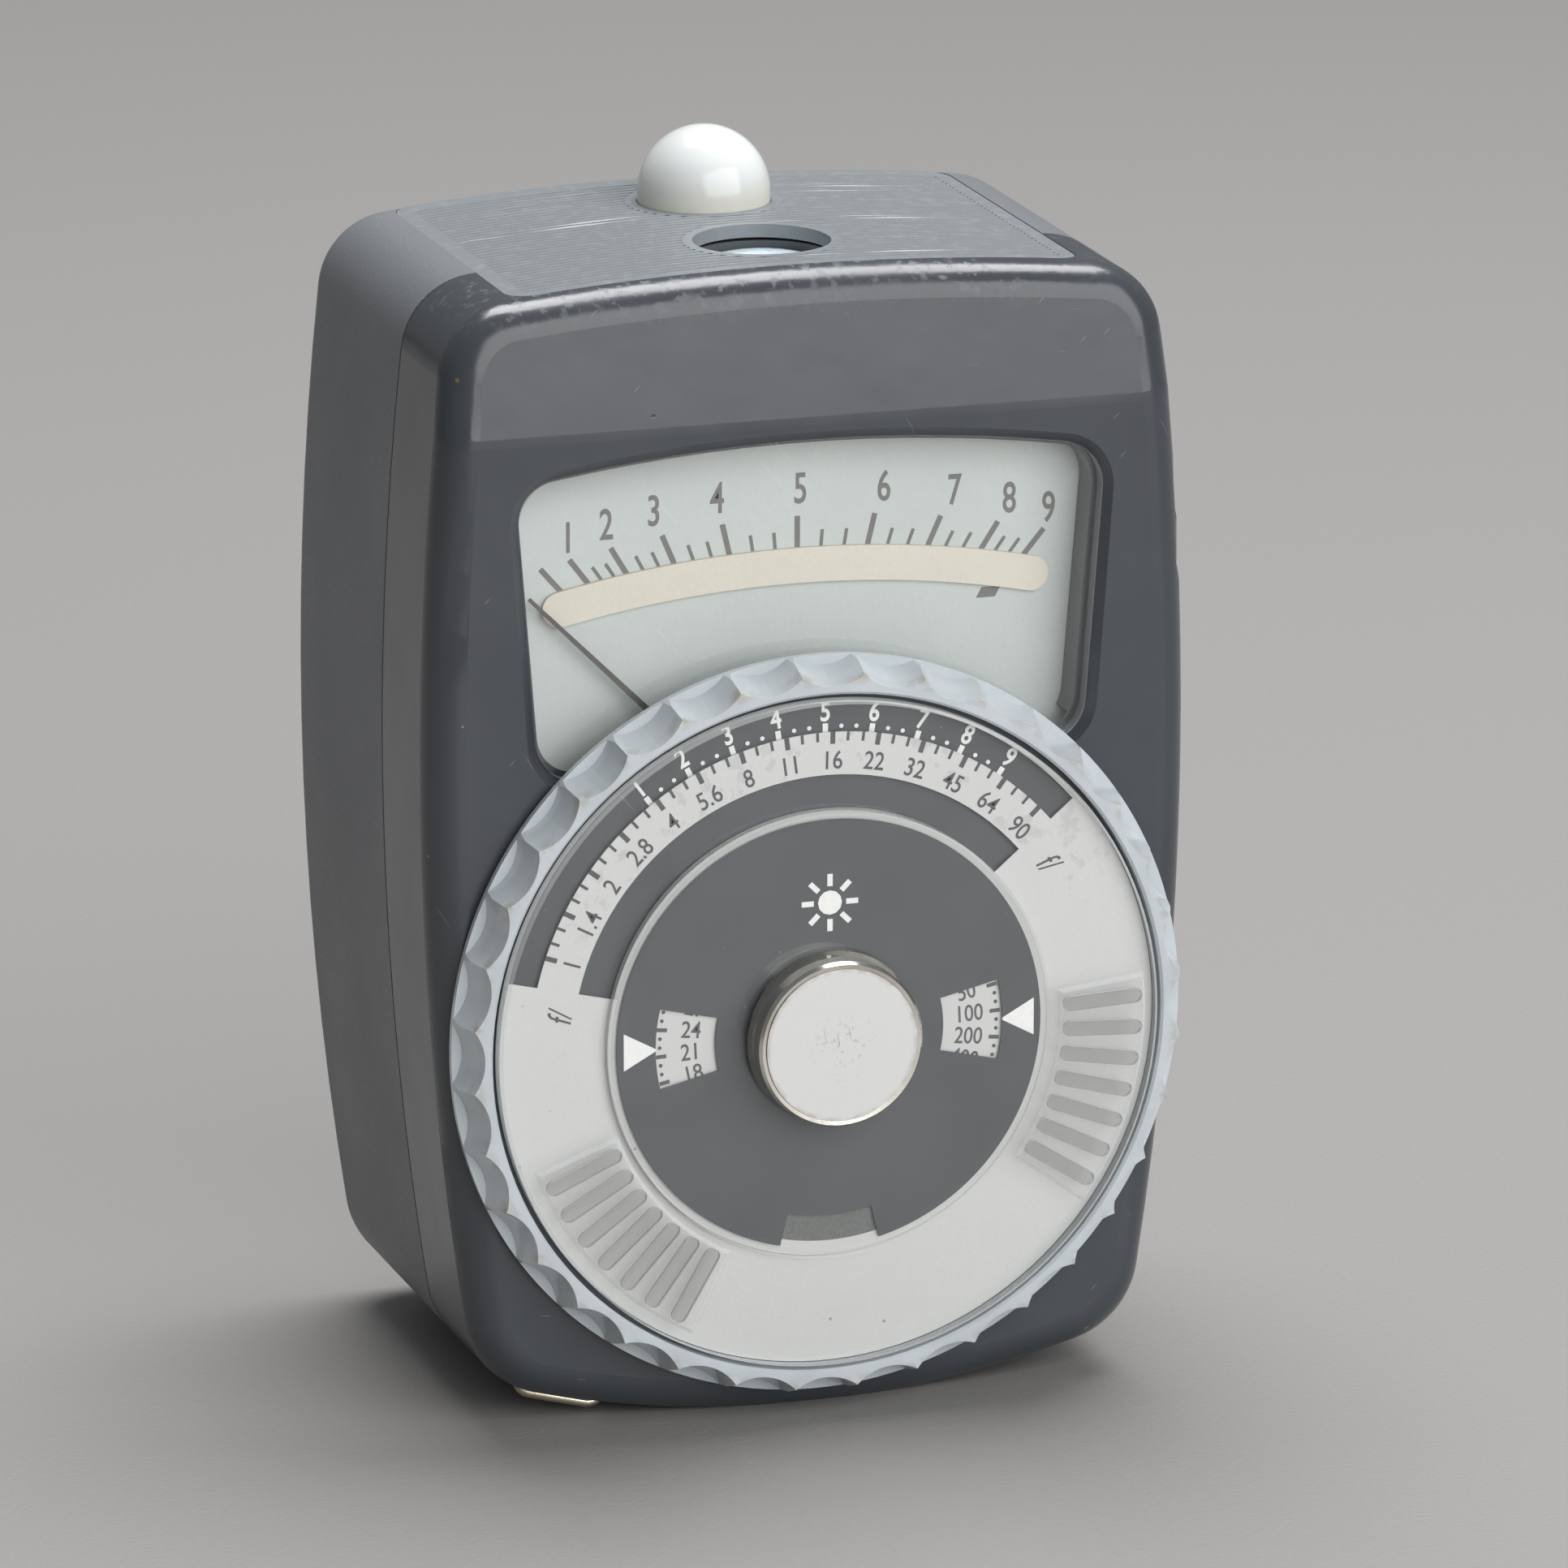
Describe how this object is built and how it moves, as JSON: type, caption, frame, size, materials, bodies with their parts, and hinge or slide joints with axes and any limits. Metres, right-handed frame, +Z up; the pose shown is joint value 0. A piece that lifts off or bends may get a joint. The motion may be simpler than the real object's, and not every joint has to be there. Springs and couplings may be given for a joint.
{
  "type": "hand-held exposure meter",
  "caption": "Hand-held photographic exposure meter with a needle window, a scalloped turning dial, a diffuser dome and a push button in its side.",
  "frame": {"origin": "middle of the flat foot under the casing, half way through the casing's depth", "axes": "+X to the right as the scale is read, +Y from the dial into the meter, +Z up"},
  "size_m": [0.0621, 0.0454, 0.094],
  "materials": {
    "front_shell_plastic": "gloss",
    "rear_shell_plastic": "matte",
    "ribbed_plate": "satin",
    "opal_diffuser": "gloss",
    "dark_sleeve": "matte",
    "cell_lens_glass": "polished",
    "photocell_face": "satin",
    "clear_window": "gloss",
    "scale_card": "matte",
    "scale_cream": "matte",
    "needle_metal": "satin",
    "brass_parts": "satin",
    "copper_coil": "satin",
    "steel_parts": "satin",
    "magnet_steel": "satin",
    "screw_nickel": "satin",
    "pearl_ring": "gloss",
    "dark_dial": "satin",
    "silver_print": "satin",
    "clear_dial": "gloss",
    "hub_chrome": "polished",
    "hub_enamel": "satin",
    "battery_can": "satin",
    "board_laminate": "satin",
    "component_body": "gloss",
    "button_white": "gloss",
    "loop_wire": "polished"
  },
  "bodies": {
    "casing": {"battery": "battery_can", "battery_contact": "brass_parts", "board_parts": "component_body", "case_screws": "screw_nickel", "cell_lens": "cell_lens_glass", "cell_tube": "dark_sleeve", "circuit_board": "board_laminate", "dial_spindle": "steel_parts", "diffuser_dome": "opal_diffuser", "front_bridge": "brass_parts", "front_casing": "front_shell_plastic", "front_hairspring": "brass_parts", "hub_bezel": "hub_chrome", "hub_cap": "hub_enamel", "hub_screw": "steel_parts", "incident_photocell": "photocell_face", "inner_disc": "clear_dial", "inner_print": "dark_dial", "magnet_core": "magnet_steel", "movement_screws": "steel_parts", "movement_spacers": "brass_parts", "rear_bridge": "brass_parts", "rear_casing": "rear_shell_plastic", "rear_hairspring": "brass_parts", "rear_jewel": "brass_parts", "reflected_photocell": "photocell_face", "scale_plate": "scale_card", "scale_strip": "scale_cream", "scale_window": "clear_window", "strap_loop": "loop_wire", "switch_block": "dark_sleeve", "switch_spring": "brass_parts", "top_plate": "ribbed_plate", "wave_washer": "steel_parts", "yoke_ring": "magnet_steel"},
    "hand_ring": {"scalloped_ring": "pearl_ring", "reading_disc": "dark_dial"},
    "film_dial": {"aperture_disc": "clear_dial", "aperture_print": "silver_print", "speed_disc": "silver_print"},
    "needle_movement": {"needle": "needle_metal", "balance_weight": "brass_parts", "moving_coil": "copper_coil", "needle_pivots": "steel_parts"},
    "button": {"measuring_button": "button_white"},
    "cap": {"battery_cap": "rear_shell_plastic"},
    "zero_adjuster": {"zero_screw": "screw_nickel"},
    "zero_arm": {"zero_lever": "brass_parts"}
  },
  "joints": [
    {"name": "ring_turn", "type": "hinge", "parent": "casing", "child": "hand_ring", "pos_m": [0, -0.0217, 0.0305], "axis": [0, 1, 0], "range_deg": [-27, 27]},
    {"name": "film_dial_turn", "type": "hinge", "parent": "casing", "child": "film_dial", "pos_m": [0, -0.0217, 0.0305], "axis": [0, 1, 0], "range_deg": [-42, 39]},
    {"name": "needle_swing", "type": "hinge", "parent": "casing", "child": "needle_movement", "pos_m": [0, -0.0147, 0.0429], "axis": [0, 1, 0], "range_deg": [0, 87], "stiffness_Nm_per_rad": 0.00005, "springref_deg": -11.46, "deforming": ["front_hairspring", "rear_hairspring"]},
    {"name": "button_press", "type": "slide", "parent": "casing", "child": "button", "axis": [-1, 0, 0], "range_m": [0, 0.0012], "stiffness_N_per_m": 400, "springref_m": -0.001, "deforming": ["switch_spring"]},
    {"name": "battery_cap_turn", "type": "hinge", "parent": "casing", "child": "cap", "pos_m": [0, 0.0178, 0.02], "axis": [0, 1, 0], "range_deg": [0, 90]},
    {"name": "zero_screw_turn", "type": "hinge", "parent": "casing", "child": "zero_adjuster", "pos_m": [0, 0.0185, 0.0471], "axis": [0, 1, 0], "range_deg": [-30, 30]},
    {"name": "zero_lever_swing", "type": "hinge", "parent": "casing", "child": "zero_arm", "pos_m": [0, -0.0005, 0.0429], "axis": [0, 1, 0], "range_deg": [-5.1, 5.1]}
  ],
  "couplings": [
    {"joint": "zero_lever_swing", "follows": "zero_screw_turn", "ratio": -0.1667}
  ]
}
